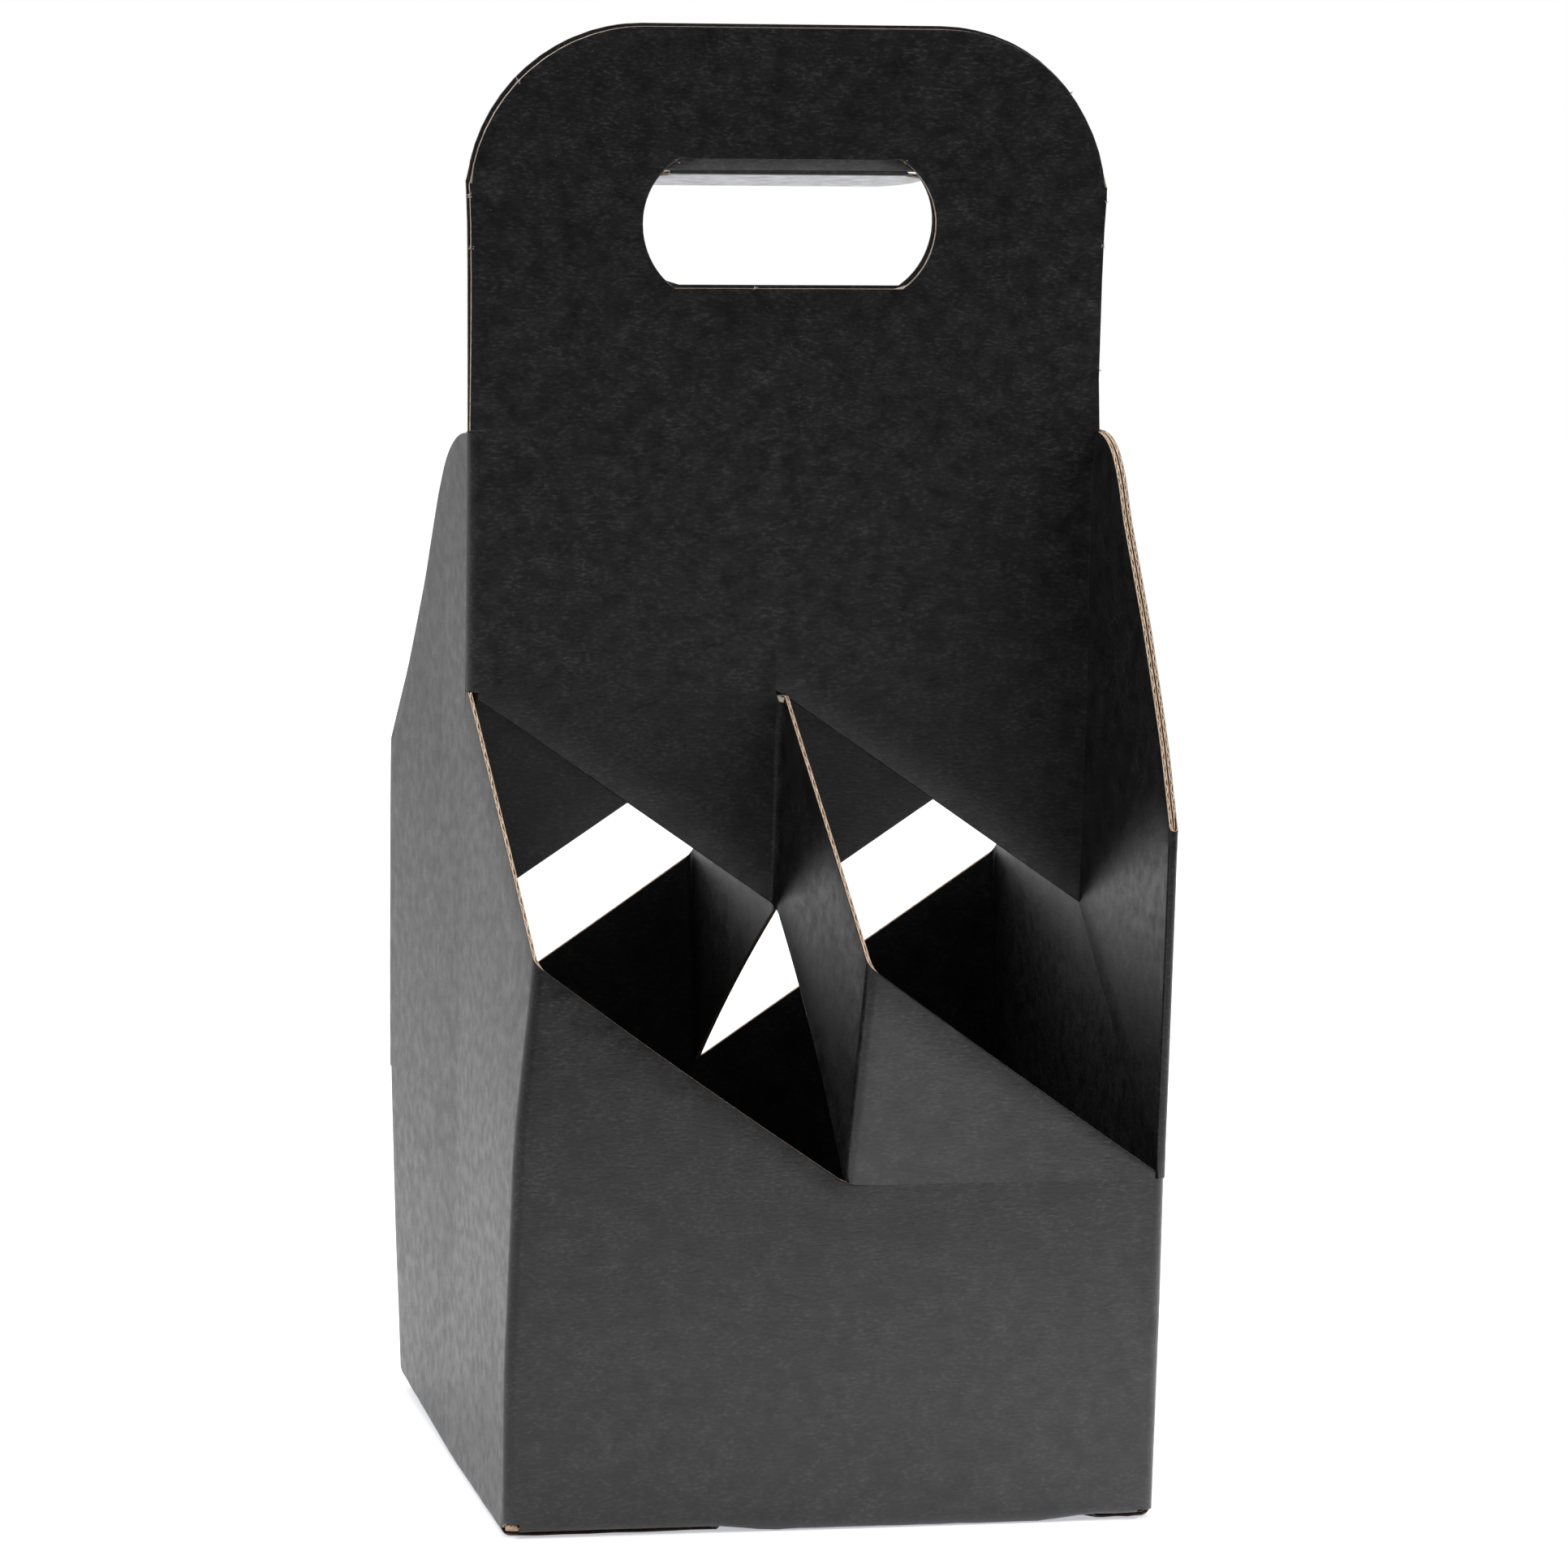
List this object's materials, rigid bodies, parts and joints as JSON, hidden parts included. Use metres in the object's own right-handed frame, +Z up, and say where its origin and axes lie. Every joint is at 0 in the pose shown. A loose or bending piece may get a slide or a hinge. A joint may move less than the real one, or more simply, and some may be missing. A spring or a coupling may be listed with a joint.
{
  "type": "bottle carrier box",
  "caption": "Open-topped folded carton for long-neck bottles, with sawtooth walls and dividers, a locking base and a central handle with a hand hole.",
  "frame": {"origin": "on the ground, under the middle of the base", "axes": "+Z up, +X to the right along the front panel, the front panel faces -Y"},
  "size_m": [0.13, 0.13, 0.2914],
  "materials": {
    "black_board": "matte"
  },
  "bodies": {
    "carrier": {"carrier_sheet": "black_board"},
    "front_flap": {"front_hand_flap": "black_board"},
    "back_flap": {"back_hand_flap": "black_board"}
  },
  "joints": [
    {"name": "front_flap_fold", "type": "hinge", "parent": "carrier", "child": "front_flap", "pos_m": [0, -0.00055, 0.26241], "axis": [1, 0, 0], "range_deg": [-80, 10]},
    {"name": "back_flap_fold", "type": "hinge", "parent": "carrier", "child": "back_flap", "pos_m": [0, 0.00055, 0.26461], "axis": [1, 0, 0], "range_deg": [-80, 10]}
  ],
  "couplings": [
    {"joint": "back_flap_fold", "follows": "front_flap_fold", "ratio": 1}
  ]
}
